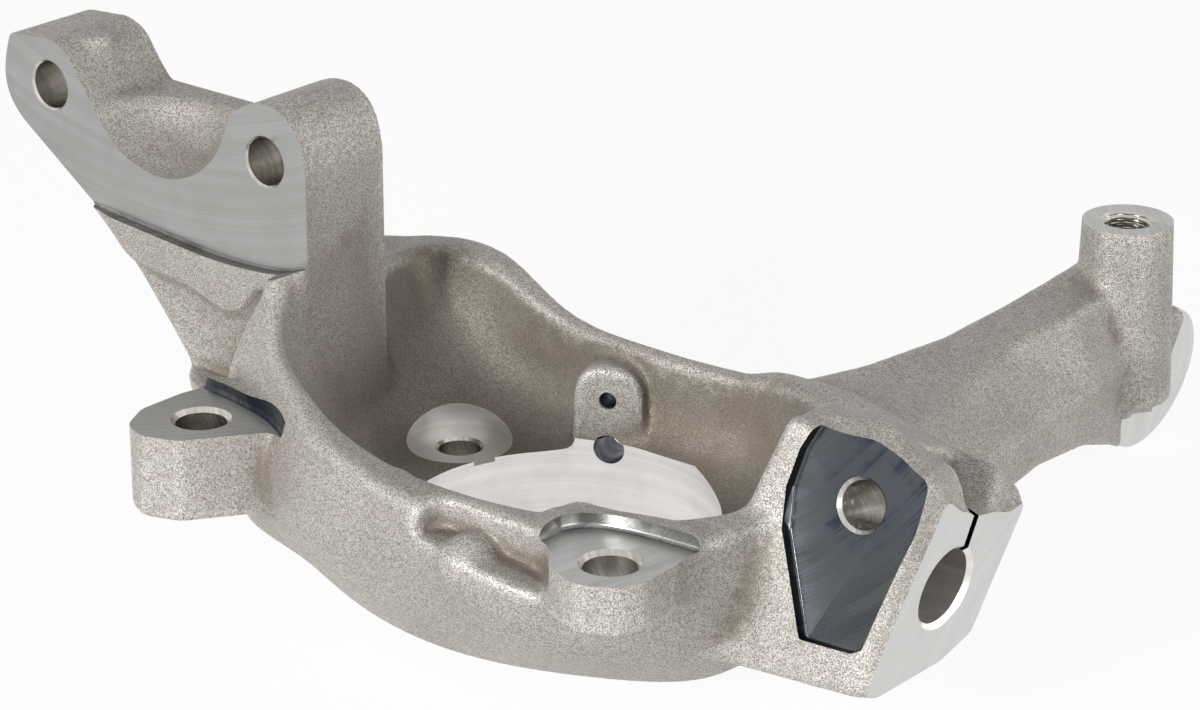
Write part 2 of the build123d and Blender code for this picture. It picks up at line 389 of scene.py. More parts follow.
@dataclass
class Volume:
    """A block of space that holds signed distances in millimetres on a grid."""

    low: tuple
    high: tuple
    voxel: float
    band: float = 16.0
    shape: tuple = field(init=False)

    def __post_init__(self) -> None:
        """Counts the grid's points."""
        self.shape = tuple(int(math.ceil((b - a) / self.voxel)) + 1 for a, b in zip(self.low, self.high))

    def of(self, shell: Shell) -> np.ndarray:
        """Distances to a closed surface, negative inside.

        Args:
            shell: The surface.

        Returns:
            One distance per grid point, held at the band.
        """
        points = (shell.points - np.array(self.low)).astype(np.float32)
        grid = vdb.FloatGrid.createLevelSetFromPolygons(
            points, triangles=np.ascontiguousarray(shell.triangles, np.uint32),
            transform=vdb.createLinearTransform(voxelSize=self.voxel), halfWidth=self.band / self.voxel)
        out = np.full(self.shape, grid.background, np.float32)
        grid.copyToArray(out, ijk=(0, 0, 0))
        return out

    def coordinate(self, axis: int) -> np.ndarray:
        """One coordinate of every grid point, ready to combine with a field."""
        values = self.low[axis] + self.voxel * np.arange(self.shape[axis], dtype=np.float32)
        return values.reshape([-1 if i == axis else 1 for i in range(3)])

    def surface(self, values: np.ndarray) -> tuple:
        """Points and faces of the zero surface.

        Args:
            values: Field on this grid.

        Returns:
            Points in millimetres and four-sided faces.
        """
        grid = vdb.FloatGrid(float(self.band))
        grid.copyFromArray(np.ascontiguousarray(values), ijk=(0, 0, 0))
        points, quads = grid.convertToQuads(0.0)
        return points * self.voxel + np.array(self.low), quads[:, ::-1]

    def sample(self, values: np.ndarray, points: np.ndarray) -> np.ndarray:
        """Values of a field at points, by linear interpolation.

        Args:
            values: Field on this grid.
            points: Points in millimetres.

        Returns:
            One value per point.
        """
        at = np.clip((points - np.array(self.low)) / self.voxel, 0, np.array(values.shape) - 1.001)
        base = at.astype(int)
        part = at - base
        out = np.zeros(len(points))
        for corner in np.ndindex(2, 2, 2):
            weight = np.prod(np.where(np.array(corner), part, 1 - part), axis=1)
            i, j, k = (base + corner).T
            out += weight * values[i, j, k]
        return out


def join(a: np.ndarray, b: np.ndarray, fillet: float) -> np.ndarray:
    """Union of two fields with a fillet where they meet; the fillet may vary over the grid."""
    near = np.clip(fillet - np.abs(a - b), 0, None)
    return np.minimum(a, b) - near * near / (4 * fillet)


def carve(a: np.ndarray, b: np.ndarray, round_over: float) -> np.ndarray:
    """Field a less field b, with the new edges rounded."""
    return -join(-a, b, round_over)


def soften(values: np.ndarray, passes: int) -> np.ndarray:
    """Softens a field with a short average along each axis.

    Args:
        values: The field.
        passes: How often it is averaged.

    Returns:
        The softer field.
    """
    for _ in range(passes):
        for axis in range(3):
            view = np.moveaxis(values, axis, 0)
            mean = view.copy()
            mean[1:-1] = 0.25 * view[:-2] + 0.5 * view[1:-1] + 0.25 * view[2:]
            values = np.moveaxis(mean, 0, axis)
    return values


@dataclass
class SensorPad:
    """Pad for the wheel-speed sensor on the far wall, in millimetres."""

    angle: float = math.radians(112.5)
    face_r: float = 41.0
    width: float = 19.0
    top_z: float = 43.0
    bore_z: float = 19.6
    bore_r: float = 4.3
    screw_z: float = 33.8
    screw_r: float = 2.1
    foot_z: float = 10.0
    draft: float = 1.0
    crown: float = 0.5
    root: float = 9.0
    stands: float = 1.0

    @property
    def axes(self) -> Axes:
        """Plane of the pad's face; solids grow towards the hub's axis."""
        inward = Vector((-math.cos(self.angle), -math.sin(self.angle), 0))
        return Axes(-self.face_r * inward, Vector((-inward.y, inward.x, 0)), Vector((0, 0, 1)))

    def boss(self) -> Shell:
        """The cast pad with its arched top.

        Returns:
            The solid, sunk into the wall.
        """
        half = self.width / 2
        foot = half + self.draft
        corners = [(-foot, self.foot_z), (foot, self.foot_z), (half, self.top_z), (-half, self.top_z)]
        return prism(rounded(corners, half - self.crown), self.axes, -self.root, self.stands)


@dataclass
class BallJointClamp:
    """Split clamp for the ball-joint stud; across, up and depth are measured from its milled face."""

    face: Vector = Vector((120.1, 0.0, 33.7))
    out: Vector = Vector((0.986, 0.010, -0.160)).normalized()
    side: Vector = Vector((-0.050, 0.965, -0.258))
    stud_r: float = 9.8
    stud_depth: float = 38.0
    slit: tuple = (1.8, 4.2)
    slit_depth: float = 40.0
    pinch_reach: float = 19.4
    pinch_r: float = 6.0
    pinch_at: tuple = (18.0, 15.2)
    groove_depth: float = 17.5
    groove_corner: float = 2.5
    groove_edge: float = 2.0
    over: float = 8.0

    SECTIONS = (
        (-3.0, [(-12, 22.5), (-8, 20.4), (-4.8, 19.0), (19.0, 16.9), (25.0, 20.4), (19.9, -13.4),
                (9.2, -19.8), (-15.8, -26.4), (-21.2, -25.6)]),
        (0.0, [(-12.5, 23.3), (-8, 21), (-4.8, 19.5), (19.3, 17.4), (25.5, 21), (20.1, -13.8), (9.4, -20.2),
               (-16, -26.8), (-21.5, -26)]),
        (3.0, [(-20.5, 27.5), (-13, 26.5), (-4, 24.5), (19.7, 23), (27.2, 22.6), (20.7, -14), (9.5, -21.5),
               (-14.8, -28.2), (-22.2, -27.4)]),
        (7.0, [(-22, 27.4), (-14, 30), (-3, 28.5), (20, 27.3), (27.8, 23), (21, -14), (9.5, -22.5),
               (-14, -29), (-22.4, -28.2)]),
        (20.0, [(-22.5, 28.6), (-14.5, 35.2), (-3, 30), (20, 26.5), (29, 22), (22.5, -15), (10.5, -25.5),
                (-11, -31.5), (-22.5, -31)]),
        (46.0, [(-23, 28), (-14, 29), (-3, 28), (24, 26), (32, 20), (25, -18), (12, -31), (-6, -37),
                (-23, -36.5)]),
    )
    GROOVE = [(-0.5, 40), (-0.5, 21), (2, 18.6), (9, 19.5), (18, 27.5), (18, 40)]
    PINCH_SEAT = [(-34.0, 31.5), (-20.9, 31.6), (-12.2, 30.9), (-4.9, 29.2), (-2.0, 27.1), (-1.2, 23.1),
                  (-4.5, -15.9), (-6.9, -17.8), (-21.1, -20.6), (-28.5, -8), (-34.5, 2), (-37.0, 12),
                  (-36.6, 22)]

    def axes(self, depth: float = 0.0) -> Axes:
        """Plane of the milled face, or one behind it."""
        side = (self.side - self.side.dot(self.out) * self.out).normalized()
        return Axes(self.face - depth * self.out, side, self.out.cross(side))

    @property
    def pinch_axes(self) -> Axes:
        """Plane of the pinch bolt's seat: out, up, and away from the clamp."""
        clamp = self.axes()
        return Axes(clamp.origin - self.pinch_reach * clamp.x, clamp.z, clamp.y)

    def field(self, space: Volume) -> np.ndarray:
        """Distances to the cast block with the groove over its slit.

        Args:
            space: Block of space to work in.

        Returns:
            The field.
        """
        block = soften(space.of(ruled(self.SECTIONS, self.axes)), 1)
        outline = rounded(self.GROOVE, self.groove_corner)
        groove = space.of(prism(outline, self.axes(), -self.groove_depth, self.over))
        return carve(block, groove, self.groove_edge)


@dataclass
class StrutFlange:
    """Flange with two lugs that the strut is bolted to, in millimetres."""

    face_y: float = -15.0
    step: float = 2.6
    back_y: float = 16.0
    hole_r: float = 6.5
    holes: tuple = ((-169.0, 102.0), (-88.0, 98.0))
    valley_at: tuple = (-128.0, 112.3)
    valley_r: float = 27.6
    valley_back_y: float = 9.0
    back_round: float = 2.5
    edge_round: float = 2.0
    button_at: tuple = (-166.0, -2.0)
    button_fillet: float = 1.5
    swell_y: float = 18.4
    swell_corner: float = 5.0
    swell_round: float = 2.5
    trough_y: float = 16.4
    trough_corner: float = 3.0
    trim_reach: float = 40.0

    BUTTON = [(7.0, 108), (5.6, 114.4)]
    FOOT = [(-73.4, 30), (-86, 32), (-112, 42), (-136, 58), (-151, 70), (-176, 87)]
    CORNER = [(-176, 87), (-183, 92.5), (-186.2, 98), (-184, 114)]
    BROW = [(-169, 115.2), (-162.5, 112.6), (-158, 107), (-152.5, 100.2)]
    LUG = [(-108, 100.2), (-101, 107.5), (-94, 112.2), (-85, 113.6), (-77.5, 109.4), (-73.4, 98)]
    SWELL = [(-160, 62), (-140, 58), (-110, 50), (-84, 52), (-80, 66), (-82, 84), (-160, 84)]
    TROUGH = [(-150, 61), (-133, 59), (-115, 57.2), (-103, 53.2), (-96, 54.5), (-87, 65), (-83, 57),
              (-85, 44), (-93, 33), (-125, 36), (-150, 50)]
    STEP_LINE = [(-152, 71.4), (-138.6, 70.2), (-122.7, 69.0), (-107.1, 67.9), (-91.7, 68.2), (-82.5, 69.2),
                 (-72, 72.5)]

    def field(self, space: Volume) -> np.ndarray:
        """Distances to the cast flange with the valley between its lugs.

        Args:
            space: Block of space to work in.

        Returns:
            The field.
        """
        plan = self.FOOT + open_curve(self.CORNER)[1:] + open_curve(self.BROW) + open_curve(self.LUG)
        body = space.of(prism(plan, UPRIGHT, -self.back_y, -self.face_y + self.step))
        back = (space.coordinate(1) - self.back_y) + 0 * body
        body = -join(-body, -back, self.back_round)
        button = turned(self.BUTTON, GROUND.moved(*self.button_at))
        body = join(body, space.of(button), self.button_fillet)
        valley = UPRIGHT.moved(self.valley_at[0], self.valley_at[1], self.valley_r - self.valley_back_y)
        return carve(body, space.of(ball(self.valley_r, valley)), self.edge_round)

    def trim(self, values: np.ndarray, space: Volume) -> np.ndarray:
        """Flattens the swell under the milled step and sinks the web below its crease.

        Args:
            values: Distances to the casting so far.
            space: Block of space they lie in.

        Returns:
            The trimmed field.
        """
        swell = prism(rounded(self.SWELL, self.swell_corner), UPRIGHT, self.swell_y, self.trim_reach)
        trough = prism(rounded(self.TROUGH, self.trough_corner), UPRIGHT, self.trough_y, self.trim_reach)
        values = carve(values, space.of(swell), self.swell_round)
        return carve(values, space.of(trough), self.edge_round)


@dataclass
class SteeringArm:
    """Arm with the threaded damper post and the tie-rod boss, in millimetres."""

    post_at: tuple = (57.0, 173.0)
    post_top: float = 63.7
    post_r: float = 12.5
    thread_minor_r: float = 6.2
    thread_depth: float = 0.8
    thread_pitch: float = 1.5
    thread_end: float = 33.7
    thread_mouth_r: float = 7.6
    boss_at: Vector = Vector((58.0, 188.3, 12.2))
    boss_r: float = 21.1
    boss_length: float = 24.0
    spared: tuple = (0.5, -9.0)
    taper_r: float = 7.4
    taper_slope: float = 0.05
    smoothing: int = 3
    boss_draft: float = 3.0
    boss_shoulder: float = 10.0
    boss_over: float = 3.0
    boss_fillet: float = 5.0
    post_draft: float = 1.8
    post_foot: float = 12.0
    post_over: float = 66.0
    post_fillet: float = 3.0

    SECTIONS = (
        (40.0, [(24, 46), (78, 48), (94, 32), (92, 12), (40, 10)]),
        (80.0, [(37, 45.5), (66, 45.5), (80, 30), (76, 13), (44, 13)]),
        (108.0, [(41, 45.5), (60, 45.5), (75, 28), (74, 15.5), (46, 13)]),
        (140.0, [(41, 46.4), (61, 46.4), (71, 28), (68, 9.5), (44, 8)]),
        (172.0, [(41, 48.6), (60, 47), (64, 28), (60, -3), (42, -3)]),
    )

    def field(self, space: Volume, clamp: Axes) -> np.ndarray:
        """Distances to the cast arm; the boss faces the same way as the clamp.

        Args:
            space: Block of space to work in.
            clamp: Plane of the clamp's milled face.

        Returns:
            The field.
        """
        out = soften(space.of(ruled(self.SECTIONS, lambda y: UPRIGHT.moved(0, 0, -y))), self.smoothing)
        boss = [(self.boss_r - self.boss_draft, -self.boss_length), (self.boss_r, -self.boss_shoulder),
                (self.boss_r, self.boss_over)]
        out = join(out, space.of(turned(boss, Axes(self.boss_at, clamp.x, clamp.y))), self.boss_fillet)
        post = [(self.post_r + self.post_draft, self.post_foot), (self.post_r, self.post_over)]
        return join(out, space.of(turned(post, GROUND.moved(*self.post_at))), self.post_fillet)


@dataclass
class Casting:
    """The raw casting: the basin with everything that is cast on it."""

    clamp: BallJointClamp = field(default_factory=BallJointClamp)
    flange: StrutFlange = field(default_factory=StrutFlange)
    arm: SteeringArm = field(default_factory=SteeringArm)
    pad: SensorPad = field(default_factory=SensorPad)
    floor_z: float = 18.0
    ledge_z: float = 39.5
    ledge_fall: float = math.radians(6)
    ledge_pivot: tuple = (14.0, 1.5)
    ledge_corner: float = 6.0
    ledge_height: float = 25.0
    ledge_edge: float = 2.0
    dome_r: float = 8.0
    dome_at: tuple = (27.5, -65.0)
    dome_drop: float = 4.2
    rim_reach: float = 120.0
    rim_round: float = 3.0
    cavity_edge: float = 3.2
    floor_fillet: float = 9.0
    floor_widens: tuple = (-10.0, 40.0)
    clamp_fillet: float = 4.0
    arm_fillet: float = 8.0
    flange_fillet: float = 2.0
    ear_top: float = 49.0
    ear_corner: float = 5.0
    ear_fillet: float = 3.5
    pad_fillet: float = 1.6

    BODY = (
        (0.0, [(66.5, 0), (64.5, -22), (46, -37), (6, -50), (-34, -43.4), (-57, -34.8), (-76, -30),
               (-92, -22), (-96, 4), (-84, 24), (-62, 38), (-34, 46), (5, 50.5), (42, 40), (62, 24)]),
        (18.0, [(78, -3), (76, -31), (58, -58), (12, -64), (-29, -60), (-54, -50), (-82, -35), (-104, -19.5),
                (-108, 6), (-99, 29), (-81, 45.5), (-39, 50.2), (5, 51), (47, 48), (74, 29)]),
        (38.0, [(83, -5), (80, -36), (60, -67.5), (16, -70.5), (-26, -65), (-53, -54.5), (-85, -36),
                (-119, -18.5), (-122, 8), (-109, 32), (-90, 50), (-43, 51), (6, 51), (52, 51), (78, 31)]),
        (74.0, [(90, -8), (84, -38), (58, -57), (16, -60), (-18, -54), (-60, -30), (-100, -19), (-151, -17.5),
                (-154, 14), (-132, 34), (-100, 54), (-50, 55), (8, 51), (56, 54), (82, 34)]),
    )
    CAVITY = (
        (0.0, [(60, 4), (54, -22), (32, -39), (0, -42), (-32, -40), (-54, -27), (-62, -6), (-65, 18),
               (-53, 34), (-29, 42), (4, 43), (36, 40), (55, 26)]),
        (18.0, [(66, 0), (60, -26), (36, -43), (0, -46), (-34, -44), (-58, -30), (-67, -6), (-70, 18),
                (-56, 36), (-30, 43.5), (4, 44), (38, 42), (60, 26)]),
        (48.0, [(76, -10), (66, -34), (43, -50), (12, -56), (-20, -53.5), (-50, -42), (-70, -23), (-77, 14),
                (-80, 38), (-52, 45), (2, 45), (42, 44), (67, 22)]),
        (76.0, [(84, -14), (72, -42), (48, -58), (16, -64), (-14, -58), (-49, -45), (-72.5, -26), (-77, 14),
                (-86, 42), (-54, 47), (2, 46), (46, 46), (72, 22)]),
    )
    NEAR_RIM = [(-75, 72), (-66, 63), (-50, 58), (-30, 53.5), (-8, 50.2), (20, 48.8), (60, 48.5), (150, 48.5)]
    FAR_RIM = [(-98, 57.5), (-78, 59.5), (-65, 58.5), (-42, 50.4), (-14, 47.6), (20, 46.9), (60, 48.5),
               (150, 48.5)]
    EARS = (
        (23.5, [(-44, -44), (-45, -51), (-62, -74.8), (-72, -78.4), (-79.5, -75), (-84, -66), (-83.8, -52),
                (-81, -40)]),
        (33.0, [(40, -42), (41, -52), (57.5, -71.5), (68, -75.0), (77, -71), (80, -64), (79.8, -52),
                (76, -38)]),
    )
    LEDGE = [(0, -61.5), (48, -61.5), (48, -95), (0, -95)]

    def field(self, space: Volume) -> np.ndarray:
        """Distances to the raw casting.

        Args:
            space: Block of space to work in.

        Returns:
            The field.
        """
        basin = space.of(loft(self.BODY))
        near = [(150, 95), (-75, 95)] + open_curve(self.NEAR_RIM)
        far = [(150, 95), (-170, 95), (-170, 57.5)] + open_curve(self.FAR_RIM)
        basin = carve(basin, space.of(prism(near, UPRIGHT, 0, self.rim_reach)), self.rim_round)
        basin = carve(basin, space.of(prism(far, UPRIGHT, -self.rim_reach, 0)), self.rim_round)
        out = join(basin, self.clamp.field(space), self.clamp_fillet)
        out = join(out, self.arm.field(space, self.clamp.axes()), self.arm_fillet)
        out = carve(out, self.cavity(space), self.cavity_edge)
        out = join(out, self.flange.field(space), self.flange_fillet)
        out = self.flange.trim(out, space)
        out = self.ledge(out, space)
        for bottom, plan in self.EARS:
            ear = prism(rounded(plan, self.ear_corner), GROUND, bottom, self.ear_top)
            out = join(out, space.of(ear), self.ear_fillet)
        out = join(out, space.of(self.pad.boss()), self.pad_fillet)
        return soften(out, 1)

    def ledge(self, values: np.ndarray, space: Volume) -> np.ndarray:
        """Cuts the ledge with its falling floor into the near wall and sets the dome on it.

        Args:
            values: Distances to the casting so far.
            space: Block of space they lie in.

        Returns:
            Distances to the casting with its ledge.
        """
        pivot_x, rise = self.ledge_pivot
        downhill = Vector((math.cos(self.ledge_fall), 0, -math.sin(self.ledge_fall)))
        floor = Axes(Vector((pivot_x, 0, self.ledge_z + rise)), downhill)
        room = prism(rounded(self.LEDGE, self.ledge_corner), floor, 0, self.ledge_height)
        out = carve(values, space.of(room), self.ledge_edge)
        dome = ball(self.dome_r, GROUND.moved(*self.dome_at, self.ledge_z - self.dome_drop))
        return join(out, space.of(dome), self.ledge_edge)

    def cavity(self, space: Volume) -> np.ndarray:
        """Distances to the basin's hollow; the fillet round its floor widens towards the far wall.

        Args:
            space: Block of space to work in.

        Returns:
            The field, negative in the hollow.
        """
        walls = space.of(loft(self.CAVITY))
        floor = self.floor_z - space.coordinate(2) + 0 * walls
        start, length = self.floor_widens
        far = np.clip((space.coordinate(1) - start) / length, 0, 1)
        return -join(-walls, -floor, self.floor_fillet + self.floor_fillet * far)


@dataclass
class Cut:
    """One cutter, the finish its end leaves and the finish its sides leave."""

    name: str
    shell: Shell
    finish: Finish
    wall: Optional[Finish] = None


@dataclass
class Machining:
    """Everything that is milled, bored, drilled or tapped in the casting, in millimetres."""

    casting: Casting
    bore_r: float = 41.3
    bore_depth: float = 22.0
    bolt_r: float = 5.75
    bolt_at: tuple = (51.7, 18.8)
    spot_r: float = 14.2
    spot_z: float = 16.8
    ear_z: float = 46.0
    ear_r: float = 6.6
    ear_holes: tuple = ((-68.0, -60.5, 0.0), (67.0, -60.5, 30.5))
    corner_r: float = 1.2
    reach: float = 30.0
    bolt_chamfer: float = 0.8
    strut_chamfer: float = 0.6
    ear_chamfer: float = 1.2
    pinch_chamfer: float = 0.9
    stud_chamfer: float = 1.2

    HUB_FACE = [(-130, -72), (95, -72), (95, 100), (-130, 100)]
    LEFT_SEAT = [(-90, -41.5), (-82.5, -44.6), (-74.4, -45.6), (-66, -47.0), (-58, -48.6), (-51, -51.2),
                 (-43, -55.5)]
    RIGHT_SEAT = [(46, -54), (48, -50), (52, -46.8), (58, -44.6), (66, -43.2), (79, -42)]

    def hole(self, name: str, radius: float, axes: Axes, low: float, chamfer: float, sides: int = 64) -> Cut:
        """A drilled hole with a chamfer at its mouth, which lies on the plane."""
        profile = [(radius, low), (radius, -chamfer), (radius + chamfer, 0.02), (radius + chamfer + 1, 1.0)]
        return Cut(name, turned(profile, axes, sides), Finish.DRILLED)

    def hub(self) -> list:
        """Cutters of the hub seat.

        Returns:
            The cutters, in order.
        """
        face = prism(self.HUB_FACE, GROUND, -self.reach, 0)
        mouth = self.bore_r + 1.3
        bore = turned([(mouth, -5), (mouth, -0.2), (self.bore_r, 1.1), (self.bore_r, self.bore_depth)], GROUND, 192)
        out = [Cut("hub_face", face, Finish.FACED), Cut("hub_bore", bore, Finish.BORED)]
        across, along = self.bolt_at
        for x, y in ((-across, along), (-across, -along), (across, -along), (across, along)):
            seat = GROUND.moved(x, y, self.spot_z)
            out.append(Cut("spot_face", turned([(self.spot_r, 0), (self.spot_r, 24)], seat), Finish.BORED))
            out.append(self.hole("hub_bolt", self.bolt_r, seat, -self.spot_z - 2, self.bolt_chamfer))
        return out

    def strut(self) -> list:
        """Cutters of the strut flange.

        Returns:
            The cutters, in order.
        """
        flange = self.casting.flange
        plane = UPRIGHT.moved(0, 0, -flange.face_y)
        outline = open_curve(flange.STEP_LINE) + [(-60, 130), (-200, 130), (-200, 72)]
        # The step wall takes the stepped finish, painted shade.
        out = [Cut("strut_face", pocket(outline, plane, 0, self.reach, 0.8), Finish.MILLED, Finish.STEPPED)]
        for x, z in flange.holes:
            out.append(self.hole("strut_hole", flange.hole_r, plane.moved(x, z), -45, self.strut_chamfer))
        return out

    def ears(self) -> list:
        """Cutters of the caliper ears.

        Returns:
            The cutters, in order.
        """
        left = open_curve(self.LEFT_SEAT) + [(-44, -95), (-100, -95), (-100, -41.5)]
        right = [(46, -95)] + open_curve(self.RIGHT_SEAT) + [(92, -42), (92, -95)]
        out = []
        # The left seat's wall takes painted dark reflection, the right seat's wall painted shade.
        for name, plan, wall in (("ear_left", left, Finish.SHADED), ("ear_right", right, Finish.STEPPED)):
            out.append(Cut(name, pocket(plan, GROUND, self.ear_z, 64, self.corner_r), Finish.MILLED, wall))
        for x, y, low in self.ear_holes:
            seat = GROUND.moved(x, y, self.ear_z)
            out.append(self.hole("ear_hole", self.ear_r, seat, low - self.ear_z, self.ear_chamfer))
        return out

    def ball_joint(self) -> list:
        """Cutters of the ball-joint clamp.

        Returns:
            The cutters, in order.
        """
        clamp = self.casting.clamp
        face, pinch = clamp.axes(), clamp.pinch_axes
        square = [(-60, -60), (60, -60), (60, 60), (-60, 60)]
        low, high = clamp.slit
        mouth = clamp.stud_r + self.stud_chamfer
        stud = turned([(clamp.stud_r, -clamp.stud_depth), (clamp.stud_r, -self.stud_chamfer), (mouth, 0.02),
                       (mouth + 1.0, 1.0)], face)
        depth, up = clamp.pinch_at
        seat = pocket(rounded(clamp.PINCH_SEAT, 1.5), pinch, 0, 16, 0.6)
        mouth = prism([(low, 2), (high, 2), (high, 50), (low, 50)], face, -clamp.groove_depth, 5)
        slit = prism([(low, 2), (high, 2), (high, 24), (low, 24)], face, -clamp.slit_depth, 0)
        return [
            Cut("clamp_face", prism(square, face, 0, 20), Finish.FACED),
            # The pinch seat takes a painted dark reflection, the slit and its mouth painted shade.
            Cut("pinch_seat", seat, Finish.SHADED),
            Cut("stud_bore", stud, Finish.BORED),
            Cut("slit_mouth", mouth, Finish.SHADED),
            Cut("slit", slit, Finish.SHADED),
            self.hole("pinch_hole", clamp.pinch_r, pinch.moved(-depth, up), -70, self.pinch_chamfer),
        ]

    def steering(self) -> list:
        """Cutters of the steering arm.

        Returns:
            The cutters, in order.
        """
        arm = self.casting.arm
        face = self.casting.clamp.axes()
        boss = Axes(arm.boss_at, face.x, face.y)
        deep = arm.boss_length + 8
        taper = turned([(arm.taper_r - deep * arm.taper_slope, -deep), (arm.taper_r, 0),
                        (arm.taper_r + 2 * arm.taper_slope, 2)], boss, 64)
        post = GROUND.moved(*arm.post_at)
        thread = threaded(arm.thread_minor_r, arm.thread_depth, arm.thread_pitch, arm.thread_end,
                          arm.post_top, arm.thread_mouth_r, post)
        return [
            Cut("boss_face", prism(self.boss_outline(), boss, 0, self.reach), Finish.FACED),
            Cut("boss_hole", taper, Finish.DRILLED),
            Cut("post_face", turned([(20, arm.post_top), (20, 80)], post), Finish.MILLED),
            Cut("post_thread", thread, Finish.TAPPED),
        ]

    def boss_outline(self) -> list:
        """Outline that is faced on the tie-rod boss: a disc that spares the foot of the post.

        Returns:
            Its corners.
        """
        arm = self.casting.arm
        radius = arm.boss_r + 2
        left, foot = arm.spared
        start = math.pi + math.asin(-foot / radius)
        end = 2.5 * math.pi + math.asin(-left / radius)
        arc = [(radius * math.cos(t), radius * math.sin(t)) for t in np.linspace(start, end, 60)]
        return arc + [(left, foot)]

    def sensor(self) -> list:
        """Cutters of the sensor pad.

        Returns:
            The cutters, in order.
        """
        pad = self.casting.pad
        bore = turned([(pad.bore_r, -self.reach), (pad.bore_r, 12)], pad.axes.moved(0, pad.bore_z), 48)
        screw = turned([(pad.screw_r, -self.reach), (pad.screw_r, 0.7), (pad.screw_r + 0.5, 1.2)],
                       pad.axes.moved(0, pad.screw_z), 32)
        # Both holes take painted shade on their walls.
        return [Cut("sensor_bore", bore, Finish.SHADED), Cut("sensor_screw", screw, Finish.SHADED)]

    def cuts(self) -> list:
        """All cutters in the order they are used."""
        return self.hub() + self.strut() + self.ears() + self.ball_joint() + self.steering() + self.sensor()

    def apply(self, piece: bpy.types.Object) -> None:
        """Cuts the casting with every cutter; the cutter's finish goes to the faces it leaves.

        Args:
            piece: The cast piece, with its materials.
        """
        for cut in self.cuts():
            tool = build_mesh(cut.name, cut.shell.points, cut.shell.triangles)
            turn_outwards(tool)
            for finish in piece.data.materials:
                tool.data.materials.append(finish)
            wall = cut.wall or cut.finish
            for polygon in tool.data.polygons:
                polygon.material_index = (wall if polygon.index < cut.shell.sides else cut.finish).value
            boolean = piece.modifiers.new(cut.name, "BOOLEAN")
            boolean.operation = "DIFFERENCE"
            boolean.solver = "MANIFOLD"
            boolean.object = tool
            bake_modifiers(piece)
            bpy.data.objects.remove(tool)


def turn_outwards(piece: bpy.types.Object) -> None:
    """Turns every face outwards.

    Args:
        piece: Piece whose faces are turned.
    """
    mesh = bmesh.new()
    mesh.from_mesh(piece.data)
    bmesh.ops.recalc_face_normals(mesh, faces=mesh.faces)
    mesh.to_mesh(piece.data)
    mesh.free()


def bake_modifiers(piece: bpy.types.Object) -> None:
    """Bakes the modifiers of a piece into its mesh.

    Args:
        piece: Piece with modifiers.
    """
    deps = bpy.context.evaluated_depsgraph_get()
    deps.update()
    mesh = bpy.data.meshes.new_from_object(piece.evaluated_get(deps))
    old = piece.data
    piece.modifiers.clear()
    piece.data = mesh
    bpy.data.meshes.remove(old)


def build_mesh(name: str, points: np.ndarray, faces: np.ndarray) -> bpy.types.Object:
    """Links a mesh that is given in millimetres.

    Args:
        name: Name of the piece.
        points: Points in millimetres.
        faces: Corner numbers of each face.

    Returns:
        The new piece.
    """
    mesh = bpy.data.meshes.new(name)
    mesh.from_pydata((points * MM).tolist(), [], faces.tolist())
    mesh.update()
    piece = bpy.data.objects.new(name, mesh)
    bpy.context.scene.collection.objects.link(piece)
    return piece


class Wiring:
    """Places and wires shader nodes in one tree."""

    def __init__(self, tree: bpy.types.NodeTree) -> None:
        """Keeps the tree.

        Args:
            tree: Tree that the nodes go into.
        """
        self.tree = tree

    def add(self, kind: str, inputs: dict, **settings: object) -> bpy.types.Node:
        """Adds a node.

        Args:
            kind: Node type without its ShaderNode prefix.
            inputs: Value or feeding socket of each input, by name or number.
            **settings: Properties of the node.

        Returns:
            The node.
        """
        node = self.tree.nodes.new("ShaderNode" + kind)
        for name, value in settings.items():
            setattr(node, name, value)
        for name, value in inputs.items():
            self.feed(node.inputs[name], value)
        return node

    def feed(self, socket: bpy.types.NodeSocket, value: object) -> None:
        """Sets a socket to a value, or links it to another socket.

        Args:
            socket: Input to set.
            value: Value, or the output that feeds it.
        """
        if isinstance(value, bpy.types.NodeSocket):
            self.tree.links.new(value, socket)
        else:
            socket.default_value = value

    def group(self, tree: bpy.types.NodeTree, **inputs: object) -> bpy.types.bpy_prop_collection:
        """Outputs of a group node of a shared effect."""
        return self.add("Group", inputs, node_tree=tree).outputs

    def math(self, operation: str, *values: object) -> bpy.types.NodeSocket:
        """Result of a Math node."""
        return self.add("Math", dict(enumerate(values)), operation=operation).outputs[0]

    def spread(self, value: object, low: float, high: float, to_low: float = 0.0,
               to_high: float = 1.0) -> bpy.types.NodeSocket:
        """A value mapped smoothly from one range to another, and held inside it.

        Args:
            value: Value or output to map.
            low: Start of its range.
            high: End of its range.
            to_low: Result at the start.
            to_high: Result at the end.

        Returns:
            The result.
        """
        node = self.add("MapRange", {"Value": value, "From Min": low, "From Max": high, "To Min": to_low,
                                     "To Max": to_high}, interpolation_type="SMOOTHSTEP")
        return node.outputs["Result"]

    def mix(self, share: object, first: object, second: object) -> bpy.types.NodeSocket:
        """Mix of two colours.

        Args:
            share: Share of the second colour.
            first: First colour.
            second: Second colour.

        Returns:
            The colour.
        """
        node = self.add("Mix", {"Factor": share}, data_type="RGBA")
        self.feed(node.inputs[6], first)
        self.feed(node.inputs[7], second)
        return node.outputs[2]

    def noise(self, vector: object, scale: object, detail: float = 3.0,
              rough: float = 0.5) -> bpy.types.NodeSocket:
        """Grey value of a noise texture."""
        inputs = {"Vector": vector, "Scale": scale, "Detail": detail, "Roughness": rough}
        return self.add("TexNoise", inputs).outputs[0]


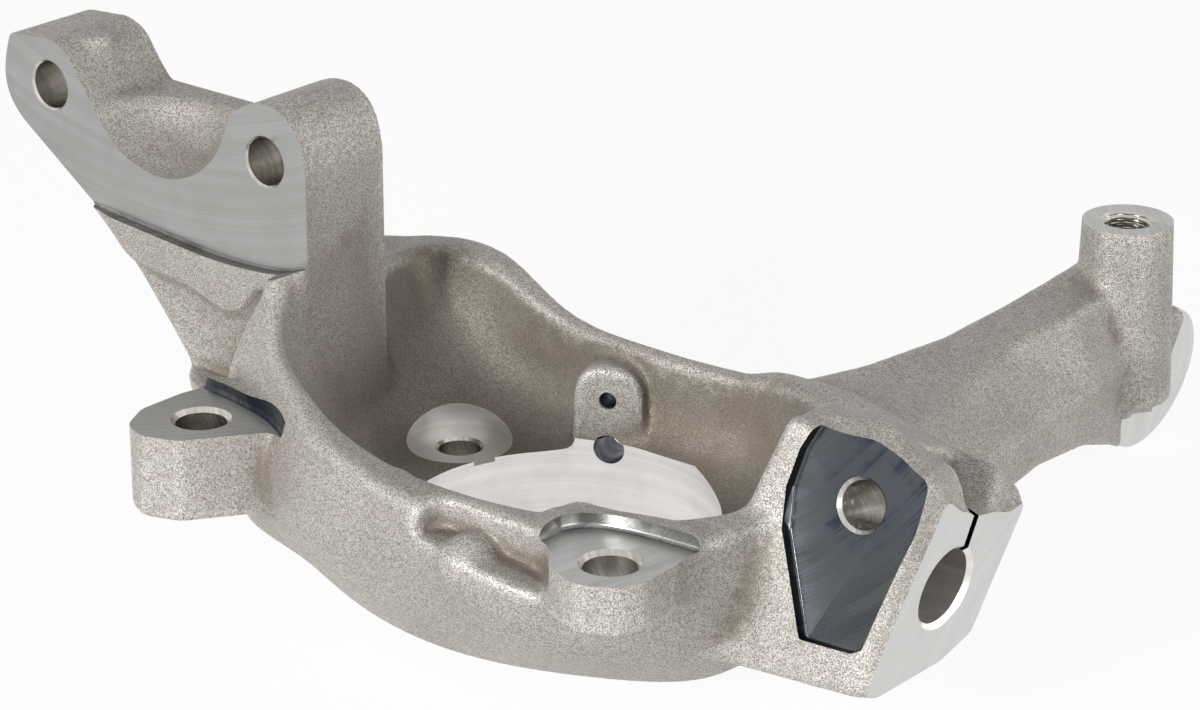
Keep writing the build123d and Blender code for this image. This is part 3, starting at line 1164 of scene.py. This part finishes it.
@dataclass(frozen=True)
class Effect:
    """A node group that several finishes share: its name, inputs with defaults, and outputs."""

    name: str
    vectors: tuple
    values: tuple
    outputs: tuple

    def start(self) -> tuple:
        """Makes the group's tree.

        Returns:
            Its wiring, the values given to it and the sockets it returns.
        """
        tree = bpy.data.node_groups.new(self.name, "ShaderNodeTree")
        for name in self.vectors:
            tree.interface.new_socket(name, in_out="INPUT", socket_type="NodeSocketVector")
        for name, default in self.values:
            socket = tree.interface.new_socket(name, in_out="INPUT", socket_type="NodeSocketFloat")
            socket.default_value = default
        for name in self.outputs:
            tree.interface.new_socket(name, in_out="OUTPUT", socket_type="NodeSocketFloat")
        given = tree.nodes.new("NodeGroupInput").outputs
        return Wiring(tree), given, tree.nodes.new("NodeGroupOutput").inputs


class Effects:
    """The shared effects, each built once."""

    def __init__(self) -> None:
        """Builds the node groups."""
        self.grain = self.sand_grain()
        self.patches = self.patch_mask()
        self.marks = self.cutter_marks()
        self.edges = self.edge_wear_highlight_and_crease_shade()

    def sand_grain(self) -> bpy.types.NodeTree:
        """Grain of a sand-cast skin: pits of two sizes.

        Returns:
            The group.
        """
        wiring, given, out = Effect("sand_grain", ("Position",), (("Size", 0.0006),),
                                    ("Height", "Fleck")).start()
        scale = wiring.math("DIVIDE", 1.0, given["Size"])
        fine = wiring.noise(given["Position"], scale, 2.0, 0.6)
        broad = wiring.noise(given["Position"], wiring.math("MULTIPLY", scale, 0.28), 3.0, 0.6)
        height = wiring.math("ADD", fine, wiring.math("MULTIPLY", broad, 0.25))
        wiring.feed(out["Height"], height)
        wiring.feed(out["Fleck"], wiring.spread(height, 0.5, 0.74))
        return wiring.tree

    def patch_mask(self) -> bpy.types.NodeTree:
        """Cloudy patches of a given size: stains, smudges and uneven colour.

        Returns:
            The group.
        """
        wiring, given, out = Effect("patches", ("Position",), (("Size", 0.01), ("Low", 0.45), ("High", 0.65)),
                                    ("Mask",)).start()
        cloud = wiring.noise(given["Position"], wiring.math("DIVIDE", 1.0, given["Size"]), 5.0, 0.62)
        wiring.feed(out["Mask"], wiring.spread(cloud, given["Low"], given["High"]))
        return wiring.tree

    def cutter_marks(self) -> bpy.types.NodeTree:
        """Fine uneven lines that a turning or milling tool leaves at even distances.

        Returns:
            The group.
        """
        wiring, given, out = Effect("cutter_marks", ("Position",), (("Distance", 0.0), ("Pitch", 0.0004)),
                                    ("Height", "Shade")).start()
        waver = wiring.math("MULTIPLY", wiring.noise(given["Position"], 60.0, 2.0), given["Pitch"])
        lines = wiring.math("DIVIDE", wiring.math("ADD", given["Distance"], waver), given["Pitch"])
        fine, broad = (
            wiring.add("TexNoise", {"W": lines, "Scale": scale, "Detail": detail},
                       noise_dimensions="1D").outputs[0]
            for scale, detail in ((1.0, 1.0), (0.12, 2.0)))
        wiring.feed(out["Height"], fine)
        both = wiring.math("ADD", wiring.math("MULTIPLY", fine, 0.4), wiring.math("MULTIPLY", broad, 0.6))
        wiring.feed(out["Shade"], wiring.spread(both, 0.35, 0.65))
        return wiring.tree

    def edge_wear_highlight_and_crease_shade(self) -> bpy.types.NodeTree:
        """Masks of rounded-over edges and of creases, broken up by the surface.

        Returns:
            The group.
        """
        values = (("Relief", 0.0), ("Edge", 1.0), ("Crease", 1.0))
        wiring, given, out = Effect("edge_wear_highlight_and_crease_shade", ("Position",), values, ("Edge", "Crease")).start()
        ragged = wiring.spread(wiring.noise(given["Position"], 350.0, 4.0, 0.6), 0.3, 0.7, -0.12, 0.12)
        relief = wiring.math("ADD", given["Relief"], ragged)
        # Edge lightens edges as wear and painted highlight; Crease darkens creases as painted shade.
        wiring.feed(out["Edge"], wiring.spread(wiring.math("DIVIDE", relief, given["Edge"]), 0.5, 1.5))
        wiring.feed(out["Crease"], wiring.spread(wiring.math("DIVIDE", relief, given["Crease"]), -0.3, -1.4))
        return wiring.tree


@dataclass(frozen=True)
class CastSkin:
    """Blasted skin of the aluminium casting, with painted shade in its hollows and creases and a painted highlight
    on its edges.
    """

    name: str = "cast_aluminium"
    light: tuple = (0.50, 0.475, 0.435, 1.0)
    dull: tuple = (0.37, 0.35, 0.325, 1.0)
    fleck: tuple = (0.13, 0.115, 0.10, 1.0)
    # Colour of real brown stains, also used as painted shade in creases and hollows.
    stain_and_shade: tuple = (0.17, 0.125, 0.08, 1.0)
    # Colour of worn edges, partly a painted highlight.
    bright: tuple = (0.72, 0.70, 0.66, 1.0)
    metallic: float = 0.3
    roughness: tuple = (0.36, 0.55)
    grain_size: float = 0.00036
    grain_depth: float = 0.00016
    uneven_size: float = 0.03
    uneven_range: tuple = (0.32, 0.68)
    uneven_share: float = 0.5
    stain_size: float = 0.035
    stain_range: tuple = (0.45, 0.68)
    stain_share: tuple = (0.12, 0.5)
    # Share of painted shade in hollows.
    hollow_shade_share: float = 0.62
    crease_width: float = 0.35
    # Share of painted shade in creases.
    crease_shade_share: float = 0.6
    edge_width: float = 0.4
    # Share of worn edges and painted highlight.
    edge_share: float = 0.45
    pit_share: float = 0.82

    def material(self, effects: Effects) -> bpy.types.Material:
        """Builds the material.

        Args:
            effects: The shared effects.

        Returns:
            The material.
        """
        mat, wiring, shader, position = new_material(self.name)
        relief = wiring.add("Attribute", {}, attribute_name="relief").outputs["Fac"]
        hollow = wiring.add("Attribute", {}, attribute_name="hollow").outputs["Fac"]
        grain = wiring.group(effects.grain, Position=position, Size=self.grain_size)
        color = self.tone_stains_and_hollow_shade(wiring, effects, position, hollow)
        edges = wiring.group(effects.edges, Position=position, Relief=relief, Edge=self.edge_width,
                             Crease=self.crease_width)
        # Painted shade: creases darken towards the stain colour.
        creases = wiring.math("MULTIPLY", edges["Crease"], self.crease_shade_share)
        color = wiring.mix(creases, color, self.stain_and_shade)
        # Edges lighten towards the bright colour: worn edges and a painted highlight.
        worn_and_highlight = wiring.math("MULTIPLY", edges["Edge"], self.edge_share)
        color = wiring.mix(worn_and_highlight, color, self.bright)
        pits = wiring.math("MULTIPLY", wiring.math("SUBTRACT", 1.0, grain["Fleck"]), self.pit_share)
        wiring.feed(shader.inputs["Base Color"], wiring.mix(pits, color, self.fleck))
        shader.inputs["Metallic"].default_value = self.metallic
        polished, blasted = self.roughness
        wiring.feed(shader.inputs["Roughness"], wiring.spread(grain["Fleck"], 0.0, 1.0, blasted, polished))
        bump = wiring.add("Bump", {"Height": grain["Height"], "Strength": 1.0, "Distance": self.grain_depth})
        wiring.feed(shader.inputs["Normal"], bump.outputs["Normal"])
        return mat

    def tone_stains_and_hollow_shade(self, wiring: Wiring, effects: Effects, position: bpy.types.NodeSocket,
             hollow: bpy.types.NodeSocket) -> bpy.types.NodeSocket:
        """Uneven metal with stains, and painted shade with more stain in its hollows.

        Args:
            wiring: Wiring of the material.
            effects: The shared effects.
            position: Position on the surface.
            hollow: How deep in a hollow the surface lies.

        Returns:
            The colour.
        """
        low, high = self.uneven_range
        uneven = wiring.group(effects.patches, Position=position, Size=self.uneven_size, Low=low, High=high)
        low, high = self.stain_range
        stains = wiring.group(effects.patches, Position=position, Size=self.stain_size, Low=low, High=high)
        color = wiring.mix(wiring.math("MULTIPLY", uneven["Mask"], self.uneven_share), self.light, self.dull)
        # Painted shade: hollows darken towards the stain colour, and stains gather there more.
        hollow_depth = wiring.spread(hollow, 0.0, 1.0)
        color = wiring.mix(wiring.math("MULTIPLY", hollow_depth, self.hollow_shade_share), color, self.stain_and_shade)
        everywhere, in_hollow = self.stain_share
        share = wiring.math("ADD", everywhere, wiring.math("MULTIPLY", hollow_depth, in_hollow))
        return wiring.mix(wiring.math("MULTIPLY", stains["Mask"], share), color, self.stain_and_shade)


@dataclass(frozen=True)
class CutFace:
    """A face or hole wall left by a cutting tool.

    The lines run round a centre, or step along an axis where one is given.
    """

    name: str
    light: tuple
    dark: tuple
    roughness: tuple
    pitch: float
    depth: float
    centre: tuple = (0.0, 0.0, 0.0)
    axis: Optional[tuple] = None
    smudge_size: float = 0.02
    smudge: float = 0.35
    smudge_range: tuple = (0.4, 0.68)
    mark_share: float = 0.45
    metallic: float = 1.0

    def material(self, effects: Effects) -> bpy.types.Material:
        """Builds the material.

        Args:
            effects: The shared effects.

        Returns:
            The material.
        """
        mat, wiring, shader, position = new_material(self.name)
        if self.axis:
            along = wiring.add("VectorMath", {0: position, 1: self.axis}, operation="DOT_PRODUCT")
        else:
            along = wiring.add("VectorMath", {0: position, 1: self.centre}, operation="DISTANCE")
        low, high = self.smudge_range
        distance = along.outputs["Value"]
        marks = wiring.group(effects.marks, Position=position, Distance=distance, Pitch=self.pitch)
        smudges = wiring.group(effects.patches, Position=position, Size=self.smudge_size, Low=low, High=high)
        shade = wiring.math("ADD", wiring.math("MULTIPLY", marks["Shade"], self.mark_share),
                            wiring.math("MULTIPLY", smudges["Mask"], self.smudge))
        wiring.feed(shader.inputs["Base Color"], wiring.mix(shade, self.light, self.dark))
        shader.inputs["Metallic"].default_value = self.metallic
        wiring.feed(shader.inputs["Roughness"], wiring.spread(shade, 0.0, 0.8, *self.roughness))
        bump = wiring.add("Bump", {"Height": marks["Height"], "Strength": 1.0, "Distance": self.depth})
        wiring.feed(shader.inputs["Normal"], bump.outputs["Normal"])
        return mat


def new_material(name: str) -> tuple:
    """Makes a material.

    Args:
        name: Name of the material.

    Returns:
        The material, its wiring, its shader and the surface's position.
    """
    mat = bpy.data.materials.new(name)
    mat.use_nodes = True
    wiring = Wiring(mat.node_tree)
    return (mat, wiring, mat.node_tree.nodes["Principled BSDF"],
            wiring.add("TexCoord", {}).outputs["Object"])


FINISHES = {
    Finish.CAST: CastSkin(),
    Finish.MILLED: CutFace("milled", (0.42, 0.42, 0.41, 1), (0.29, 0.29, 0.28, 1),
                           roughness=(0.28, 0.42), pitch=0.0005, depth=0.000012, centre=(-0.128, -0.015, 0.24)),
    Finish.FACED: CutFace("faced", (0.64, 0.64, 0.625, 1), (0.56, 0.56, 0.55, 1),
                          roughness=(0.34, 0.46), pitch=0.0005, depth=0.000012, centre=(0.12, 0.06, -0.02)),
    # Painted dark reflection on the pinch seat and the left ear seat's wall, painted shade in the slit and the
    # sensor holes.
    Finish.SHADED: CutFace("shaded", (0.10, 0.105, 0.11, 1), (0.018, 0.021, 0.034, 1),
                           roughness=(0.16, 0.3), pitch=0.0004, depth=0.000008, centre=(0.04, -0.02, 0.12),
                           smudge=0.85, smudge_size=0.03),
    # Painted shade: a darker copy of the milled finish for the step walls of the strut face and the right ear seat.
    Finish.STEPPED: CutFace("stepped", (0.30, 0.30, 0.29, 1), (0.10, 0.10, 0.10, 1),
                            roughness=(0.22, 0.34), pitch=0.0006, depth=0.000008, centre=(-0.1, -0.05, 0.2),
                            smudge=0.5, smudge_size=0.012),
    Finish.BORED: CutFace("bored", (0.84, 0.82, 0.80, 1), (0.66, 0.64, 0.62, 1),
                          roughness=(0.3, 0.4), pitch=0.0003, depth=0.00001, axis=(0.0, 0.0, 1.0)),
    Finish.DRILLED: CutFace("drilled", (0.66, 0.64, 0.60, 1), (0.24, 0.22, 0.20, 1),
                            roughness=(0.22, 0.36), pitch=0.0006, depth=0.00001, axis=(0.4, 0.3, 0.2)),
    Finish.TAPPED: CutFace("tapped", (0.52, 0.50, 0.47, 1), (0.30, 0.28, 0.26, 1),
                           roughness=(0.25, 0.38), pitch=0.0006, depth=0.000005, axis=(0.0, 0.0, 1.0)),
}


@dataclass
class Knuckle:
    """The finished knuckle: one casting, machined and dressed."""

    casting: Casting = field(default_factory=Casting)
    space: Volume = field(default_factory=lambda: Volume((-194, -86, -14), (133, 216, 121), 1.0))
    kept_share: float = 0.3
    sharp_angle: float = math.radians(32)
    flat_angle: float = math.radians(0.3)
    sliver: float = 0.004
    near_passes: int = 8
    skin_depth: float = 1.0
    lining: float = 5.0
    # Painted shade in the basin grows from a quarter share at the near wall to full towards the far wall.
    dark_side: tuple = (-30.0, 40.0, 0.25)
    coarse: int = 3
    wide_passes: int = 6
    crease_range: tuple = (0.4, 1.6)

    def build(self, effects: Effects) -> bpy.types.Object:
        """Casts, machines and dresses the knuckle.

        Args:
            effects: The shared effects.

        Returns:
            The piece.
        """
        values = self.casting.field(self.space)
        piece = build_mesh("knuckle_casting", *self.space.surface(values))
        log.info("cast skin: %d faces", len(piece.data.polygons))
        thin = piece.modifiers.new("thin", "DECIMATE")
        thin.ratio = self.kept_share
        bake_modifiers(piece)
        for finish in Finish:
            piece.data.materials.append(FINISHES[finish].material(effects))
        Machining(self.casting).apply(piece)
        self.clean(piece)
        self.mark_relief(piece, values)
        piece.data.shade_smooth()
        piece.data.set_sharp_from_angle(angle=self.sharp_angle)
        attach(piece, "root")
        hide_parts("knuckle")
        log.info("knuckle: %d faces", len(piece.data.polygons))
        return piece

    def clean(self, piece: bpy.types.Object) -> None:
        """Joins the slivers that the cutters leave on flat machined faces.

        Args:
            piece: The machined piece.
        """
        mesh = bmesh.new()
        mesh.from_mesh(piece.data)
        bmesh.ops.remove_doubles(mesh, verts=mesh.verts, dist=self.sliver * MM)
        bmesh.ops.dissolve_degenerate(mesh, dist=self.sliver * MM, edges=mesh.edges)
        flat = [edge for edge in mesh.edges
                if all(face.material_index != Finish.CAST.value for face in edge.link_faces)]
        bmesh.ops.dissolve_limit(mesh, angle_limit=self.flat_angle, edges=flat, verts=[],
                                 delimit={"MATERIAL"})
        bmesh.ops.triangulate(mesh, faces=[face for face in mesh.faces if len(face.verts) > 4])
        mesh.to_mesh(piece.data)
        mesh.free()

    def mark_relief(self, piece: bpy.types.Object, values: np.ndarray) -> None:
        """Stores how far each point stands on an edge or in a crease, and how deep in a hollow.

        Args:
            piece: The machined piece.
            values: Distances to the raw casting.
        """
        points = np.empty(len(piece.data.vertices) * 3)
        piece.data.vertices.foreach_get("co", points)
        points = points.reshape(-1, 3) / MM
        near = soften(values, self.near_passes)
        skin = self.space.sample(values, points)
        relief = np.where(np.abs(skin) < self.skin_depth, self.space.sample(near, points) - skin, 0)
        # The hollow mask drives painted shade and more stain: inside the basin, darker towards the far wall, and in
        # broad concave places.
        inside = 1 - np.abs(self.space.sample(self.casting.cavity(self.space), points)) / self.lining
        start, length, least = self.dark_side
        hollow = np.clip(inside, 0, 1) * np.clip((points[:, 1] - start) / length, least, 1)
        every = slice(None, None, self.coarse)
        block = Volume(self.space.low, self.space.high, self.coarse * self.space.voxel)
        wide = block.sample(soften(values[every, every, every], self.wide_passes), points) - skin
        start, length = self.crease_range
        hollow = np.maximum(hollow, np.clip((-start - wide) / length, 0, 1))
        for name, data in (("relief", relief), ("hollow", hollow)):
            attribute = piece.data.attributes.new(name, "FLOAT", "POINT")
            attribute.data.foreach_set("value", data.astype(np.float32))


@dataclass
class Studio:
    """White floor, soft lamps and the camera at the photograph's angle."""

    eye: Vector = Vector((0.6095, -0.7108, 0.4386))
    turn: float = math.radians(40.0)
    rise: float = math.radians(21.9)
    lens: float = 120.0
    sensor: float = 36.0
    aim: Vector = Vector((-0.03, 0.04, 0.05))
    ambient: float = 0.16
    floor_glow: float = 0.93
    floor_size: float = 3.0
    floor_gap: float = 0.0001
    floor_roughness: float = 0.9
    lamps: tuple = (
        ("key", (-0.05, -1.4, 0.5), 0.4, 23.0),
        ("fill", (1.4, -0.3, 0.15), 0.6, 12.0),
        ("back", (1.0, 1.1, 0.5), 0.8, 4.5),
    )

    def build(self) -> None:
        """Builds floor, world, lamps and camera."""
        scene = bpy.context.scene
        scene.view_settings.view_transform = "Standard"
        self.world(scene)
        self.floor(scene)
        self.camera(scene)
        for name, place, size, power in self.lamps:
            data = bpy.data.lights.new(name, "AREA")
            data.size = size
            data.energy = power
            lamp = bpy.data.objects.new(name, data)
            scene.collection.objects.link(lamp)
            lamp.location = place
            lamp.rotation_euler = (Vector(place) - self.aim).to_track_quat("Z", "Y").to_euler()
            log.info("lamp %s", name)

    def shown(self, wiring: Wiring) -> bpy.types.NodeSocket:
        """One on rays that see the background: from the camera, in a reflection or through glass.

        Args:
            wiring: Wiring of the background or floor.

        Returns:
            The mask.
        """
        path = wiring.add("LightPath", {}).outputs
        indirect = wiring.math("MAXIMUM", path["Is Glossy Ray"], path["Is Transmission Ray"])
        return wiring.math("MAXIMUM", path["Is Camera Ray"], indirect)

    def world(self, scene: bpy.types.Scene) -> None:
        """A white background over a softer ambient light.

        Args:
            scene: The scene.
        """
        world = bpy.data.worlds.new("studio")
        scene.world = world
        world.use_nodes = True
        wiring = Wiring(world.node_tree)
        white = (1, 1, 1, 1)
        soft = wiring.add("Background", {"Color": white, "Strength": self.ambient}).outputs[0]
        shown = wiring.add("Background", {"Color": white, "Strength": 1.0}).outputs[0]
        mix = wiring.add("MixShader", {0: self.shown(wiring), 1: soft, 2: shown}).outputs[0]
        wiring.feed(world.node_tree.nodes["World Output"].inputs["Surface"], mix)

    def floor(self, scene: bpy.types.Scene) -> None:
        """A plain white floor that keeps a light shadow.

        Args:
            scene: The scene.
        """
        s, z = self.floor_size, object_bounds()[0][2] - self.floor_gap
        mesh = bpy.data.meshes.new("floor")
        mesh.from_pydata([(-s, -s, z), (s, -s, z), (s, s, z), (-s, s, z)], [], [(0, 1, 2, 3)])
        mat, wiring, shader, _ = new_material("floor")
        shader.inputs["Base Color"].default_value = (1.0, 1.0, 1.0, 1)
        shader.inputs["Roughness"].default_value = self.floor_roughness
        glow = wiring.add("Emission", {"Color": (1, 1, 1, 1), "Strength": 1.0}).outputs[0]
        share = wiring.math("MULTIPLY", self.shown(wiring), self.floor_glow)
        mix = wiring.add("MixShader", {0: share, 1: shader.outputs[0], 2: glow}).outputs[0]
        wiring.feed(mat.node_tree.nodes["Material Output"].inputs["Surface"], mix)
        mesh.materials.append(mat)
        floor = bpy.data.objects.new("floor", mesh)
        scene.collection.objects.link(floor)
        floor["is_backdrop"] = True

    def camera(self, scene: bpy.types.Scene) -> None:
        """The camera, turned and raised as the photograph shows the part.

        Args:
            scene: The scene.
        """
        data = bpy.data.cameras.new("camera")
        data.lens = self.lens
        data.sensor_width = self.sensor
        level = math.cos(self.rise)
        back = Vector((math.sin(self.turn) * level, -math.cos(self.turn) * level, math.sin(self.rise)))
        right = Vector((math.cos(self.turn), math.sin(self.turn), 0))
        place = Matrix((right, back.cross(right), back)).transposed().to_4x4()
        place.translation = self.eye
        camera = bpy.data.objects.new("camera", data)
        scene.collection.objects.link(camera)
        camera.matrix_world = place
        scene.camera = camera


def main() -> None:
    """Builds the knuckle and its studio, and reports each piece."""
    logging.basicConfig(level=logging.INFO)
    piece = Knuckle().build(Effects())
    log.info("built %s", piece.name)
    Studio().build()


if __name__ == "__main__":
    main()
